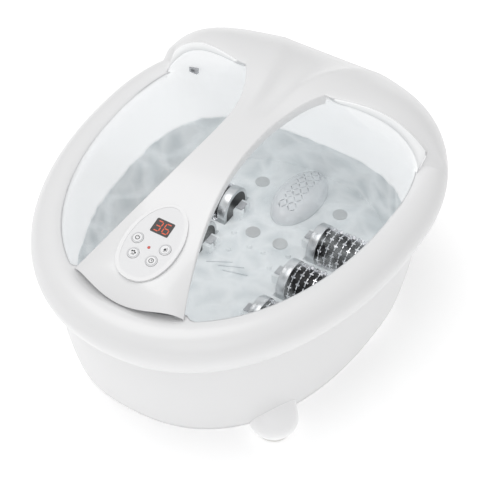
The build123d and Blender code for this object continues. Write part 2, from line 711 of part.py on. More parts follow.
# ---------------------------------------------------------------- inside the body
def heater_plate():
    """Flat heater under the floor."""
    length, width, height = HEATER_SIZE
    return Pos(0, HEATER_Y, FLOOR_Z - WALL - height) * rounded_box(length, width, height, 8)


def thermostat():
    """Thermal cut-out under the heater."""
    body = upright(8, 4) + Pos(0, 0, -2) * upright(5, 3)
    return Pos(0, HEATER_Y, FLOOR_Z - WALL - HEATER_SIZE[2] - 4) * body


def vibration_motor():
    """Motor with its shaft."""
    body = fillet(Cylinder(MOTOR_RADIUS, MOTOR_LENGTH).edges(), 1)
    shaft = Pos(0, 0, MOTOR_LENGTH / 2) * upright(SHAFT_RADIUS, 12)
    return Pos(0, MOTOR_Y, MOTOR_Z) * Rot(0, 90, 0) * (body + shaft)


def motor_bracket():
    """Saddle that hangs the motor from the floor."""
    top = FLOOR_Z - WALL
    low = MOTOR_Z - 2
    block = Pos(0, MOTOR_Y, (top + low) / 2) * Box(18, 24, top - low)
    return block - Pos(0, MOTOR_Y, MOTOR_Z) * Rot(0, 90, 0) * Cylinder(MOTOR_RADIUS, 30)


def eccentric_weight():
    """Half-round weight that spins on the motor's shaft."""
    disc = upright(WEIGHT_RADIUS, 6) - Pos(0, 8, 3) * Box(20, 10, 8)
    hub = upright(3.2, 6)
    bore = upright(SHAFT_RADIUS + SHAFT_CLEARANCE, 6)
    return Pos(MOTOR_LENGTH / 2 + 3, MOTOR_Y, MOTOR_Z) * Rot(0, 90, 0) * (disc + hub - bore)


def air_pump():
    """Pump block with rounded edges."""
    body = Pos(0, PUMP_Y, BASE_Z + WALL) * rounded_box(*PUMP_SIZE, 8)
    return fillet(body.edges().group_by(Axis.Z)[-1], 3)


def air_hose():
    """Hose from the pump to the outlet under the dome."""
    front_y = PUMP_Y + PUMP_SIZE[1] / 2
    z = MOTOR_Z - 2
    spots = [(18, front_y, z), (18, front_y + 8, z), (38, front_y + 28, z), (38, 104, z), (14, 136, z),
             (14, 136, FLOOR_Z - WALL)]
    path = FilletPolyline(*spots, radius=8)
    section = Plane(origin=path @ 0, z_dir=path % 0) * Circle(HOSE_RADIUS)
    return sweep(section, path=path)


def power_board():
    """Mains board with its transformer and capacitor."""
    board = Pos(0, BOARD_Y, BASE_Z + WALL + 4) * rounded_box(60, 34, 1.6, 2)
    top = BASE_Z + WALL + 5.6
    transformer = Pos(-14, BOARD_Y, top) * rounded_box(22, 18, 10, 1.5)
    capacitor = Pos(12, BOARD_Y + 4, top) * upright(5, 9)
    relay = Pos(22, BOARD_Y - 8, top) * rounded_box(10, 12, 7, 0.8)
    return board + transformer + capacitor + relay


def base_plate():
    """Bottom cover inside the body's flange."""
    top = BASE_Z + WALL
    plate = extrude(body_face(BASE_Z, -WALL - BASE_FLANGE - 0.5), amount=PLATE_THICK)
    plate = Pos(0, 0, WALL - PLATE_THICK) * plate
    for x in (-26, 26):
        for y in (BOARD_Y - 13, BOARD_Y + 13):
            plate = plate + Pos(x, y, top - 1) * upright(2.5, 5)
    for x, y in mirrored(BASE_SCREW_SPOTS):
        plate = plate - Pos(x, y, 0) * upright(SCREW_RADIUS + 0.1, 40)
    return plate


def base_screws():
    """Four screws through the base plate."""
    low = BASE_Z + WALL - PLATE_THICK
    screw = Pos(0, 0, -1.6) * upright(HEAD_RADIUS, 1.6) + upright(SCREW_RADIUS, 12)
    return group([Pos(x, y, low) * screw for x, y in mirrored(BASE_SCREW_SPOTS)])


def rubber_feet():
    """Round pads under the legs."""
    pad = fillet(upright(PAD_RADIUS, PAD_HEIGHT).edges().group_by(Axis.Z)[0], 1.2)
    return group([Pos(x, y, 0) * pad for x, y in FOOT_SPOTS])


def mains_inlet():
    """Cable gland in the back wall."""
    body = Pos(0, 0, -7.8) * upright(INLET_RADIUS, 10)
    nut = Pos(0, 0, -WALL - 4.8) * upright(INLET_RADIUS + 1, 3.6)
    flange = Pos(0, 0, 1.4) * upright(INLET_RADIUS + 3.5, 2.6)
    return inlet_place() * (body + nut + flange - Pos(0, 0, -10) * upright(INLET_BORE, 20))


PIECES = {
    "lower_shell": lower_shell, "rim_casing": rim_casing, "console_bridge": console_bridge,
    "rear_hood": rear_hood, "tub": tub, "hood_liner": hood_liner, "strip_clip": strip_clip,
    "console_underside": console_underside, "console_screws": console_screws,
    "floor_discs": floor_discs, "herb_dome": herb_dome,
    "roller_axles": roller_axles, "roller_clips": roller_clips, "panel_bezel": panel_bezel,
    "panel_fascia": panel_fascia, "display_window": display_window, "display_module": display_module,
    "button_switches": button_switches, "indicator_led": indicator_led, "control_board": control_board,
    "heater_plate": heater_plate, "thermostat": thermostat, "vibration_motor": vibration_motor,
    "motor_bracket": motor_bracket, "eccentric_weight": eccentric_weight, "air_pump": air_pump,
    "air_hose": air_hose, "power_board": power_board, "base_plate": base_plate,
    "base_screws": base_screws, "rubber_feet": rubber_feet, "mains_inlet": mains_inlet,
}


def main():
    for name, build in PIECES.items():
        save(build(), name)
    for name in BUTTONS:
        save(button(name), name)
    for side_name, side in SIDES.items():
        save(light_strip(side), "light_strip_" + side_name)
    for name, side, y in each_roller():
        save(roller_core(side, y), "roller_" + name + "_core")
        save(roller_sleeve(side, y), "roller_" + name + "_sleeve")


if __name__ == "__main__":
    main()
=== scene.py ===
"""Looks for the foot spa basin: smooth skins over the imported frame, water, panel detail and light.

Shapes are worked out in millimetres and become metres in add_mesh; camera and lights are in metres.
"""
import json
import math

import bmesh
import bpy
from mathutils import Matrix, Vector


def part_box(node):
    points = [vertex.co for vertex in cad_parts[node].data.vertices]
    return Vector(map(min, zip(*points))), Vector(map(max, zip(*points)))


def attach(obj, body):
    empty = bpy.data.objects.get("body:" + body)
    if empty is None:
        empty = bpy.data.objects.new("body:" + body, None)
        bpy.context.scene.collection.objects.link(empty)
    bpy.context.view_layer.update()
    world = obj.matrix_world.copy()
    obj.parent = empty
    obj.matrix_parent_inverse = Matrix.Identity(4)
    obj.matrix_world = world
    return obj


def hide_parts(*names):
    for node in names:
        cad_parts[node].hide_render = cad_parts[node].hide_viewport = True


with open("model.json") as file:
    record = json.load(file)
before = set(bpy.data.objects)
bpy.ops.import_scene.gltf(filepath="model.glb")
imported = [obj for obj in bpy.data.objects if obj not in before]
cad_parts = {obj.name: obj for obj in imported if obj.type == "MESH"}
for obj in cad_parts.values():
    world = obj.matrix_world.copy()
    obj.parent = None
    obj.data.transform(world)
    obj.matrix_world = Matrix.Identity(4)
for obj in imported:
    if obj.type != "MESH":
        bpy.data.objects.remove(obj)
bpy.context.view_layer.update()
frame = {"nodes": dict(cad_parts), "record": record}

MM = 0.001


def corners(node):
    """Lowest and highest corner of a CAD node, in millimetres."""
    low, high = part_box(node)
    return low / MM, high / MM


# ---------------------------------------------------------------- shapes shared with the frame (mm)
RIM_LOW, RIM_HIGH = corners("rim_casing")
RIM_RADIUS = 23.6           # how far the rolled rim stands out from its centre line
EGG_Y = 41.7                # where the egg-shaped plan is widest
RIM_HALF = RIM_HIGH.x - RIM_RADIUS
RIM_FRONT = EGG_Y - RIM_LOW.y - RIM_RADIUS
RIM_REAR = RIM_HIGH.y - EGG_Y - RIM_RADIUS
RIM_Z = RIM_HIGH.z - RIM_RADIUS
RIM_POWERS = (2.12, 2.34)   # superellipse powers, front and rear
WALL = 3.0                  # moulded wall thickness
COLLAR_LOW_Z = RIM_LOW.z
COLLAR_LOW_OUT = 5.0
COLLAR_POWER = 0.9          # how soon the collar swells out above its lower edge
LIP_INSET = 9.5             # from the rim's centre line in to the mouth of the basin
BASE_POWER = 2.35
BASE_Z = 14.3               # lower edge of the body wall
BASE_HALF, BASE_FRONT, BASE_REAR = 161.8, 237.8, 160.0
BODY_TOP_Z = 150.0
BODY_TOP_OUT = 0.5          # body wall under the collar, out from the rim's centre line
BODY_BULGE = 4.5            # swell of the body wall at its middle height

FLOOR_Z = 41.0              # top of the basin floor
TUB_TOP_Z = RIM_HIGH.z - WALL
TUB_FLOOR_HALF, TUB_FLOOR_FRONT, TUB_FLOOR_REAR = 136.0, 216.0, 153.0
TUB_TOP_REAR = 97.0         # the back wall leans forward as it rises
TUB_FRONT_POWER = 2.15
TUB_REAR_POWERS = (2.5, 4.5)    # at the floor and at the top
TUB_BULGE = 7.0             # swell of the basin wall
WATER_Z = 109.0

WAIST_Y, WAIST_HALF = 5.0, 21.5     # the bridge is narrowest here
APRON_Y, APRON_HALF = -190.0, 63.0
FLARE_Y, FLARE_HALF = 101.0, 46.0
FLARE_POWER = 2.6
DECK_Z, DECK_FRONT_DROP = 244.0, 54.0
DECK_PEAK_Y, DECK_END_Y = -9.0, -185.0
DECK_RISE_Y = 50.0          # behind this the bridge rises to the hood's lip
APRON_TIP, APRON_TIP_Z = 16.0, 187.0    # bow of the apron's front edge, and its height
TIP_BACK_Y = -150.0         # the bow starts here
TIP_POWER = 1.3             # how the deck falls away to the apron's tip
CROWN_BACK_Y = -90.0        # the apron's crown ends here
CROWN_POWER = 3.5
PANEL_FOOT_Y = -184.0       # the deck falls away in front of the panel
DECK_SKIRT = 11.0           # depth of the bridge's side walls
SKIRT_FRONT = 0.4           # depth at the apron's front
SKIRT_RUN = 50.0            # length over which the side walls reach their full depth
VALLEY_DEPTH = 9.0          # channel between the two hood lobes
VALLEY_START_Y, VALLEY_RUN = 25.0, 75.0
VALLEY_HALF, VALLEY_FLARE = 12.0, 45.0
VALLEY_FLARE_Y, VALLEY_FLARE_RUN = 40.0, 162.0
VALLEY_FADE_POWER = 4       # the channel runs out only where the hood meets the rim

HOOD_LIP_Y, HOOD_LIP_HALF, HOOD_LIP_Z = 104.0, 57.0, 249.0      # hood lip beside the bridge
HOOD_END_HALF, HOOD_END_Z = 163.0, 195.0    # hood lip where it meets the rim
HOOD_LIP_SWEEP = 0.25
HOOD_LIP_POWER = 3.1        # the lip stays high and falls late
HOOD_ROUND, HOOD_END_ROUND = 0.625, 0.5     # how full the hood's fall to the rim is, middle and ends
HOOD_ROUND_POWER = 6        # that fullness changes only near the ends
HOOD_END_ANGLE = 0.42       # egg angle where the hood's end meets the rim
HOOD_SPAN = math.pi / 2 - HOOD_END_ANGLE
PANEL_Y, PANEL_Z, PANEL_TILT, PANEL_STAND = -140.0, 220.4, 15.1, 1.2


def smooth(value):
    """Ease from 0 to 1."""
    value = min(max(value, 0.0), 1.0)
    return value * value * (3 - 2 * value)


def steps(start, end, count):
    """Evenly spaced numbers from start to end."""
    return [start + (end - start) * i / (count - 1) for i in range(count)]


def turns(count):
    """Evenly spaced angles once round."""
    return [2 * math.pi * i / count for i in range(count)]


def egg(angle, half, front, rear, powers):
    """Plan point on an egg made of two half superellipses."""
    c, s = math.cos(angle), math.sin(angle)
    power, reach = (powers[0], front) if s < 0 else (powers[1], rear)
    x = half * math.copysign(abs(c) ** (2 / power), c)
    return x, EGG_Y + reach * math.copysign(abs(s) ** (2 / power), s)


def rim_egg(angle, out):
    """Plan point on the rim's centre line moved outward."""
    return egg(angle, RIM_HALF + out, RIM_FRONT + out, RIM_REAR + out, RIM_POWERS)


def tub_point(angle, z, inset=0.0):
    """Point on the basin's inner wall."""
    share = (z - FLOOR_Z) / (TUB_TOP_Z - FLOOR_Z)
    bulge = TUB_BULGE * math.sin(math.pi * min(max(share, 0), 1)) - inset
    half = TUB_FLOOR_HALF + share * (RIM_HALF - LIP_INSET - TUB_FLOOR_HALF) + bulge
    front = TUB_FLOOR_FRONT + share * (RIM_FRONT - LIP_INSET - TUB_FLOOR_FRONT) + bulge
    rear = TUB_FLOOR_REAR + share * (TUB_TOP_REAR - TUB_FLOOR_REAR) + bulge
    power = TUB_REAR_POWERS[0] + (TUB_REAR_POWERS[1] - TUB_REAR_POWERS[0]) * max(share, 0) ** 2
    x, y = egg(angle, half, front, rear, (TUB_FRONT_POWER, power))
    return Vector((x, y, z))


def body_shape(z):
    """Half width, front reach, rear reach and powers of the body wall at height z."""
    share = (z - BASE_Z) / (BODY_TOP_Z - BASE_Z)
    bulge = BODY_BULGE * (1 - (2 * share - 1) ** 2)
    powers = [BASE_POWER + share * (p - BASE_POWER) for p in RIM_POWERS]
    sizes = [low + share * (high + BODY_TOP_OUT - low) + bulge
             for low, high in ((BASE_HALF, RIM_HALF), (BASE_FRONT, RIM_FRONT), (BASE_REAR, RIM_REAR))]
    return sizes, powers


def deck_half_width(y):
    """Half width of the bridge at y."""
    if y < WAIST_Y:
        return WAIST_HALF + (APRON_HALF - WAIST_HALF) * ((WAIST_Y - y) / (WAIST_Y - APRON_Y)) ** 2
    return WAIST_HALF + (FLARE_HALF - WAIST_HALF) * ((y - WAIST_Y) / (FLARE_Y - WAIST_Y)) ** FLARE_POWER


def lip_y(x):
    """Y of the hood's lip at x."""
    return HOOD_LIP_Y + HOOD_LIP_SWEEP * max(abs(x) - HOOD_LIP_HALF, 0)


def lip_z(x):
    """Height of the hood's lip at x."""
    reach = max(abs(x) - HOOD_LIP_HALF, 0) / (HOOD_END_HALF - HOOD_LIP_HALF)
    return HOOD_LIP_Z - (HOOD_LIP_Z - HOOD_END_Z) * min(reach, 1) ** HOOD_LIP_POWER


def deck_edge_z(y):
    """Height of the bridge along its edges."""
    if y < DECK_PEAK_Y:
        return DECK_Z - DECK_FRONT_DROP * ((DECK_PEAK_Y - y) / (DECK_PEAK_Y - DECK_END_Y)) ** 2
    return DECK_Z + (HOOD_LIP_Z - DECK_Z) * smooth((y - DECK_RISE_Y) / (HOOD_LIP_Y - DECK_RISE_Y))


def crown(x, y):
    """Crown of the apron: its centre line runs parallel to the control panel."""
    slope = math.tan(math.radians(PANEL_TILT))
    centre = PANEL_Z - PANEL_STAND + slope * (max(y, PANEL_FOOT_Y) - PANEL_Y)
    if y < PANEL_FOOT_Y:
        share = (PANEL_FOOT_Y - y) / (PANEL_FOOT_Y - APRON_Y + APRON_TIP)
        centre = centre - (centre - APRON_TIP_Z) * min(share, 1.0) ** TIP_POWER
    height = max(centre - deck_edge_z(y), 0.0) if y < CROWN_BACK_Y else 0.0
    share = min(abs(x) / deck_half_width(min(y, WAIST_Y)), 1.0)
    return height * (1 - share ** CROWN_POWER)


def valley(x, y):
    """Depth of the channel that runs back between the two hood lobes."""
    half = VALLEY_HALF + VALLEY_FLARE * (max(y - VALLEY_FLARE_Y, 0.0) / VALLEY_FLARE_RUN) ** 2
    depth = VALLEY_DEPTH * smooth((y - VALLEY_START_Y) / VALLEY_RUN)
    share = min(abs(x) / half, 1.0)
    return depth * (1 - share * share)


def deck_point(share, y):
    """Point on the bridge, share -1 to 1 from edge to edge; its front end bows out."""
    half = deck_half_width(y)
    y = y - APRON_TIP * (1 - share * share) * smooth((TIP_BACK_Y - y) / (TIP_BACK_Y - APRON_Y))
    x = share * half
    return Vector((x, y, deck_edge_z(y) + crown(x, y) - valley(x, y)))


def hood_point(across, back):
    """Point on the hood: across -1 to 1 side to side, back 0 at the lip to 1 at the rim's outer line."""
    x0 = HOOD_END_HALF * across
    y0 = lip_y(x0)
    x1, y1 = rim_egg(math.pi / 2 - across * HOOD_SPAN, RIM_RADIUS)
    x, y = x0 + (x1 - x0) * back, y0 + (y1 - y0) * back
    fullness = HOOD_ROUND + (HOOD_END_ROUND - HOOD_ROUND) * across ** HOOD_ROUND_POWER
    z = RIM_Z + (lip_z(x0) - RIM_Z) * (1 - back * back) ** fullness
    return Vector((x, y, z - valley(x, y) * (1 - back ** VALLEY_FADE_POWER)))


# ---------------------------------------------------------------- mesh helpers
WELD = 1e-6                 # points nearer than this many metres become one


def add_mesh(name, verts, faces, material, body="basin", slots=None):
    """Smooth-shaded mesh object from millimetre points, riding on a body."""
    mesh = bpy.data.meshes.new(name)
    mesh.from_pydata([tuple(v * MM for v in p) for p in verts], [], faces)
    if slots:
        mesh.polygons.foreach_set("material_index", slots)
    work = bmesh.new()
    work.from_mesh(mesh)
    bmesh.ops.remove_doubles(work, verts=work.verts, dist=WELD)
    bmesh.ops.recalc_face_normals(work, faces=work.faces)
    work.to_mesh(mesh)
    work.free()
    for polygon in mesh.polygons:
        polygon.use_smooth = True
    mesh.materials.append(material)
    piece = bpy.data.objects.new(name, mesh)
    bpy.context.scene.collection.objects.link(piece)
    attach(piece, body)
    return piece


def grid(rows, closed):
    """Points and quads of a grid given as rows of points."""
    verts = [p for row in rows for p in row]
    width = len(rows[0])
    faces = []
    for r in range(len(rows) - 1):
        for c in range(width if closed else width - 1):
            d = (c + 1) % width
            faces.append((r * width + c, r * width + d, (r + 1) * width + d, (r + 1) * width + c))
    return verts, faces


def shifted(faces, count):
    """Faces renumbered to follow count earlier points."""
    return [tuple(i + count for i in face) for face in faces]


def joined(shapes):
    """Several shapes, each points and faces, as one."""
    verts, faces = [], []
    for more, quads in shapes:
        faces += shifted(quads, len(verts))
        verts += more
    return verts, faces


def ring(radius, z, count):
    """Level ring of points about +Z."""
    return [Vector((radius * math.cos(a), radius * math.sin(a), z)) for a in turns(count)]


def block(matrix, size, taper=0.72):
    """Eight corners and six faces of a block that narrows from its base plane; size is (x, y, z)."""
    verts = []
    for z, share in ((0.0, 1.0), (size[2], taper)):
        for sx, sy in ((-1, -1), (1, -1), (1, 1), (-1, 1)):
            verts.append(matrix @ Vector((sx * size[0] / 2 * share, sy * size[1] / 2, z)))
    faces = [(3, 2, 1, 0), (4, 5, 6, 7)] + [(i, (i + 1) % 4, (i + 1) % 4 + 4, i + 4) for i in range(4)]
    return verts, faces


# ---------------------------------------------------------------- material helpers
NOISE_DETAIL = 3.0
COAT_ROUGHNESS = 0.12


def new_material(name, color, roughness, metallic=0.0, coat=0.0, specular=0.5):
    """Principled material with its node tree and shader."""
    material = bpy.data.materials.new(name)
    material.use_nodes = True
    tree = material.node_tree
    shader = tree.nodes["Principled BSDF"]
    shader.inputs["Base Color"].default_value = (*color, 1)
    shader.inputs["Roughness"].default_value = roughness
    shader.inputs["Metallic"].default_value = metallic
    shader.inputs["Coat Weight"].default_value = coat
    shader.inputs["Coat Roughness"].default_value = COAT_ROUGHNESS
    shader.inputs["Specular IOR Level"].default_value = specular
    return material, tree, shader


def glow(shader, color, strength):
    """Light that the surface gives off evenly."""
    shader.inputs["Emission Color"].default_value = (*color, 1)
    shader.inputs["Emission Strength"].default_value = strength


def noise(tree, place, scale, detail=NOISE_DETAIL):
    """Noise texture read at a place, its scale in cycles per metre."""
    node = tree.nodes.new("ShaderNodeTexNoise")
    node.inputs["Scale"].default_value = scale
    node.inputs["Detail"].default_value = detail
    tree.links.new(place, node.inputs["Vector"])
    return node


def mapped(tree, value, low, high, start=0.0, end=1.0):
    """The value mapped onto low to high as it runs from start to end."""
    node = tree.nodes.new("ShaderNodeMapRange")
    node.inputs["From Min"].default_value = start
    node.inputs["From Max"].default_value = end
    node.inputs["To Min"].default_value = low
    node.inputs["To Max"].default_value = high
    tree.links.new(value, node.inputs["Value"])
    return node.outputs["Result"]


def times_plus(tree, value, factor, added):
    """value * factor + added."""
    node = tree.nodes.new("ShaderNodeMath")
    node.operation = "MULTIPLY_ADD"
    node.inputs[1].default_value = factor
    tree.links.new(value, node.inputs[0])
    tree.links.new(added, node.inputs[2])
    return node.outputs["Value"]


def mixed(tree, factor, low, high):
    """Colour that runs from low to high with the factor; low is a colour or a socket."""
    node = tree.nodes.new("ShaderNodeMix")
    node.data_type = "RGBA"
    node.inputs["B"].default_value = (*high, 1)
    tree.links.new(factor, node.inputs["Factor"])
    if isinstance(low, tuple):
        node.inputs["A"].default_value = (*low, 1)
    else:
        tree.links.new(low, node.inputs["A"])
    return node.outputs["Result"]


def rippled(tree, place, scale, reach):
    """The place moved about by soft noise, so that a pattern read there runs in waves."""
    node = tree.nodes.new("ShaderNodeVectorMath")
    node.operation = "MULTIPLY_ADD"
    node.inputs[1].default_value = (reach, reach, reach)
    tree.links.new(noise(tree, place, scale).outputs["Color"], node.inputs[0])
    tree.links.new(place, node.inputs[2])
    return node.outputs["Vector"]


def edge_distance(tree, place, scale):
    """Distance to the nearest edge in a pattern of cells."""
    node = tree.nodes.new("ShaderNodeTexVoronoi")
    node.feature = "DISTANCE_TO_EDGE"
    node.inputs["Scale"].default_value = scale
    tree.links.new(place, node.inputs["Vector"])
    return node.outputs["Distance"]


def add_relief(tree, shader, height, strength, distance):
    """Bump on the shader from a height value; distance is in metres."""
    node = tree.nodes.new("ShaderNodeBump")
    node.inputs["Strength"].default_value = strength
    node.inputs["Distance"].default_value = distance
    tree.links.new(height, node.inputs["Height"])
    tree.links.new(node.outputs["Normal"], shader.inputs["Normal"])


GRAIN_FINENESS = 40         # the moulded grain is this much finer than the mottling
GRAIN_DEPTH = 0.0002


def mottle(tree, shader, color, spread, scale, roughness=None, rough_spread=0.0, bump=0.0):
    """Faint mottling of colour, gloss and surface height at one scale (in cycles per metre)."""
    place = tree.nodes.new("ShaderNodeTexCoord").outputs["Object"]
    cloud = noise(tree, place, scale).outputs["Fac"]
    tint = tree.nodes.new("ShaderNodeVectorMath")
    tint.operation = "SCALE"
    tint.inputs[0].default_value = color
    tree.links.new(mapped(tree, cloud, 1 - spread, 1 + spread), tint.inputs["Scale"])
    tree.links.new(tint.outputs["Vector"], shader.inputs["Base Color"])
    if roughness is not None:
        gloss = mapped(tree, cloud, roughness - rough_spread, roughness + rough_spread)
        tree.links.new(gloss, shader.inputs["Roughness"])
    if bump:
        grain = noise(tree, place, scale * GRAIN_FINENESS, detail=2.0)
        add_relief(tree, shader, grain.outputs["Fac"], bump, GRAIN_DEPTH)


# ---------------------------------------------------------------- materials
def plastic(name, color, roughness, coat=0.3, spread=0.012, bump=0.12):
    """Moulded plastic: faint flow mottling and a fine moulded grain."""
    material, tree, shader = new_material(name, color, roughness, coat=coat)
    mottle(tree, shader, color, spread, scale=25.0, roughness=roughness, rough_spread=0.04, bump=bump)
    return material


def painted_glow_plastic(name, color, roughness, strength):
    """Moulded plastic with an even painted glow that lifts the shade on it."""
    material, tree, shader = new_material(name, color, roughness, coat=0.3)
    mottle(tree, shader, color, spread=0.01, scale=12.0, roughness=roughness, rough_spread=0.04, bump=0.02)
    # painted glow: the part is no lamp
    glow(shader, color, strength)
    return material


def metal(name, color, roughness, spread=0.03):
    """Plated or plain metal with faint smudges."""
    material, tree, shader = new_material(name, color, roughness, metallic=1.0)
    mottle(tree, shader, color, spread, scale=60.0, roughness=roughness, rough_spread=0.05, bump=0.05)
    return material


def lit_print(name, color, strength):
    """Glowing display segments with a faint unevenness."""
    material, tree, shader = new_material(name, color, roughness=0.4)
    mottle(tree, shader, color, spread=0.08, scale=900.0)
    glow(shader, color, strength)
    return material


# WATER_GLOW is a painted glow: the water is no lamp
WATER_COLOR, WATER_GLOW = (0.90, 0.95, 0.97), (0.9, 0.96, 1.0)


def water_material():
    """Clear shallow water: see-through, with glossy ripples, pale veins of painted caustic light and a faint
    painted glow.
    """
    material, tree, shader = new_material("water", WATER_COLOR, roughness=0.04, specular=0.6)
    place = tree.nodes.new("ShaderNodeTexCoord").outputs["Object"]
    waves = rippled(tree, place, scale=16.0, reach=0.035)
    # painted caustic light: the water turns pale and less clear along the cell edges
    caustic_veins = mapped(tree, edge_distance(tree, waves, scale=21.0), low=0.16, high=0.0, end=0.20)
    swell = noise(tree, waves, scale=60.0, detail=2.0)
    add_relief(tree, shader, swell.outputs["Fac"], strength=0.35, distance=0.002)
    tree.links.new(caustic_veins, shader.inputs["Alpha"])
    # painted glow
    glow(shader, WATER_GLOW, 0.12)
    return material


LINE_WAVE = 0.012           # wave of the water line, in metres
LINE_LOW_Z, LINE_HIGH_Z = WATER_Z + 3.0, WATER_Z + 7.0      # the painted caustic light and shade fade out between these


def glowing_caustic_lining(name, dry, shade, bright, strength):
    """Basin plastic with a painted glow all over: plain above the water line, rippled with painted caustic
    light and shade below it.
    """
    material, tree, shader = new_material(name, dry, roughness=0.4, coat=0.25)
    place = tree.nodes.new("ShaderNodeNewGeometry").outputs["Position"]
    waves = rippled(tree, place, scale=15.0, reach=0.05)
    # painted caustic light and shade: rippled cells of darker and brighter colour below the water line
    ripple = mapped(tree, edge_distance(tree, waves, scale=30.0), low=0.75, high=0.0, end=0.35)
    cloud = noise(tree, waves, scale=38.0, detail=4.0).outputs["Fac"]
    caustics = mixed(tree, times_plus(tree, cloud, 0.6, ripple), shade, bright)
    height = tree.nodes.new("ShaderNodeSeparateXYZ")
    tree.links.new(place, height.inputs["Vector"])
    line = times_plus(tree, cloud, LINE_WAVE, height.outputs["Z"])
    above = mapped(tree, line, 0.0, 1.0, LINE_LOW_Z * MM, LINE_HIGH_Z * MM)
    color = mixed(tree, above, caustics, dry)
    tree.links.new(color, shader.inputs["Base Color"])
    # painted glow: the lining gives off its own colour, lifting the shade under the hood and bridge
    tree.links.new(color, shader.inputs["Emission Color"])
    shader.inputs["Emission Strength"].default_value = strength
    return material


WHITE = (0.86, 0.86, 0.865)
LINING_DRY = (0.85, 0.853, 0.857)
# painted caustic light and shade on the lining below the water line
LINING_SHADE = (0.42, 0.455, 0.47)
LINING_BRIGHT = (0.58, 0.605, 0.615)
materials = {
    "white_body": plastic("white_body", WHITE, 0.34, coat=0.25, spread=0.005, bump=0.02),
    # legs: painted glow lifts the shade on their sides
    "leg_plastic": painted_glow_plastic("leg_plastic", WHITE, 0.4, strength=0.20),
    # basin lining: painted glow lifts the shade inside the basin
    "basin_lining": glowing_caustic_lining("basin_lining", LINING_DRY, LINING_SHADE, LINING_BRIGHT, strength=0.39),
    "grey_trim": plastic("grey_trim", (0.50, 0.51, 0.53), 0.4, coat=0.1),
    # light strips: painted glow lifts the shade under the hood's lip
    "strip_lens": painted_glow_plastic("strip_lens", (0.84, 0.845, 0.85), 0.25, strength=0.20),
    "steel": metal("steel", (0.62, 0.62, 0.63), 0.3),
    "disc_plastic": plastic("disc_plastic", (0.55, 0.565, 0.57), 0.3, coat=0.2),
    "dome_plastic": plastic("dome_plastic", (0.80, 0.82, 0.84), 0.25, coat=0.4),
    "bezel_plastic": plastic("bezel_plastic", (0.82, 0.82, 0.825), 0.25, coat=0.5),
    "fascia_plastic": plastic("fascia_plastic", (0.77, 0.77, 0.78), 0.3, coat=0.5),
    "dark_window": plastic("dark_window", (0.022, 0.018, 0.017), 0.3, coat=0.05),
    "black_plastic": plastic("black_plastic", (0.02, 0.02, 0.022), 0.4, coat=0.1),
    "red_lamp": plastic("red_lamp", (0.65, 0.05, 0.03), 0.2, coat=0.6),
    "circuit_board": plastic("circuit_board", (0.03, 0.16, 0.07), 0.45, coat=0.1, spread=0.06),
    "heater_metal": metal("heater_metal", (0.7, 0.7, 0.71), 0.35),
    "clear_rubber": plastic("clear_rubber", (0.75, 0.75, 0.73), 0.4, coat=0.2),
    "rubber_pad": plastic("rubber_pad", (0.80, 0.79, 0.77), 0.55, coat=0.0),
    "button_plastic": plastic("button_plastic", (0.83, 0.83, 0.84), 0.3, coat=0.5),
    "roller_barrel": plastic("roller_barrel", (0.006, 0.006, 0.007), 0.4, coat=0.0),
    "roller_chrome": metal("roller_chrome", (0.82, 0.82, 0.84), 0.12),
    "collar_silver": metal("collar_silver", (0.66, 0.67, 0.68), 0.32),
    "dark_print": plastic("dark_print", (0.02, 0.02, 0.022), 0.5, coat=0.0),
    # painted shade round each button's edge, laid as a grey ring on its top
    "painted_edge_shade": plastic("painted_edge_shade", (0.36, 0.37, 0.39), 0.4, coat=0.0),
    "lit_red": lit_print("lit_red", (0.55, 0.08, 0.03), strength=0.55),
}


def dress_nodes():
    """Every CAD node takes the scene's material for its slot."""
    for part in frame["record"]["subparts"]:
        slots = frame["nodes"][part["node"]].data.materials
        name = "basin_lining" if part["node"] == "tub" else part["material_slot"]
        for i in range(len(slots)):
            slots[i] = materials[name]


# ---------------------------------------------------------------- cover: rim, hood, bridge and basin wall
LIP_THICK = 3.0
LIP_SETBACK = 1.2           # the lining under the hood starts this far back from the lip
LIP_AIM_Y = EGG_Y / 2       # the rim's lip points in toward this y on the middle line
HOOD_BLEND = 0.035          # share of the hood's half width over which its ends run into the rim
LINING_INSET = 1.8          # the cover's wall stands this far inside the CAD wall
WALL_LOW_Z, WALL_HIGH_Z = FLOOR_Z - 2.0, TUB_TOP_Z - 5.0
LINER_FOOT_Z = TUB_TOP_Z - 1.0
SHELF_DEPTH, SHELF_HALF, SHELF_FADE = 9.0, 72.0, 8.0    # the rim is wider below the apron
COLLAR_ROWS = (0.0, 0.02, 0.15, 0.3, 0.45, 0.6, 0.75, 0.9)
LIP_ROWS = (0.25, 0.5, 0.75, 1.0)
LINER_ROWS = (0.15, 0.4, 0.7, 0.95)
TOP_ROW_COUNT, WALL_ROW_COUNT = 22, 12
HOOD_COLUMNS, RIM_COLUMNS = 44, 150
BRIDGE_SHARES = [math.sin(a) for a in steps(-math.pi / 2, math.pi / 2, 25)]
BRIDGE_ROWS = 90
BRIDGE_ROLL = ((0.9, 0.7), (1.2, 2.2))      # out and down, round the bridge's rolled edge
SKIRT_OUT, SKIRT_DROP = 0.6, 1.6            # the bridge's side wall below that edge
SKIRT_BEND = 0.6            # it turns in again at this share of its depth
JOIN_SLACK = 0.01


def hood_share(angle):
    """Across value of the hood at this angle, or None outside it."""
    if not HOOD_END_ANGLE < angle < math.pi - HOOD_END_ANGLE:
        return None
    return (math.pi / 2 - angle) / HOOD_SPAN


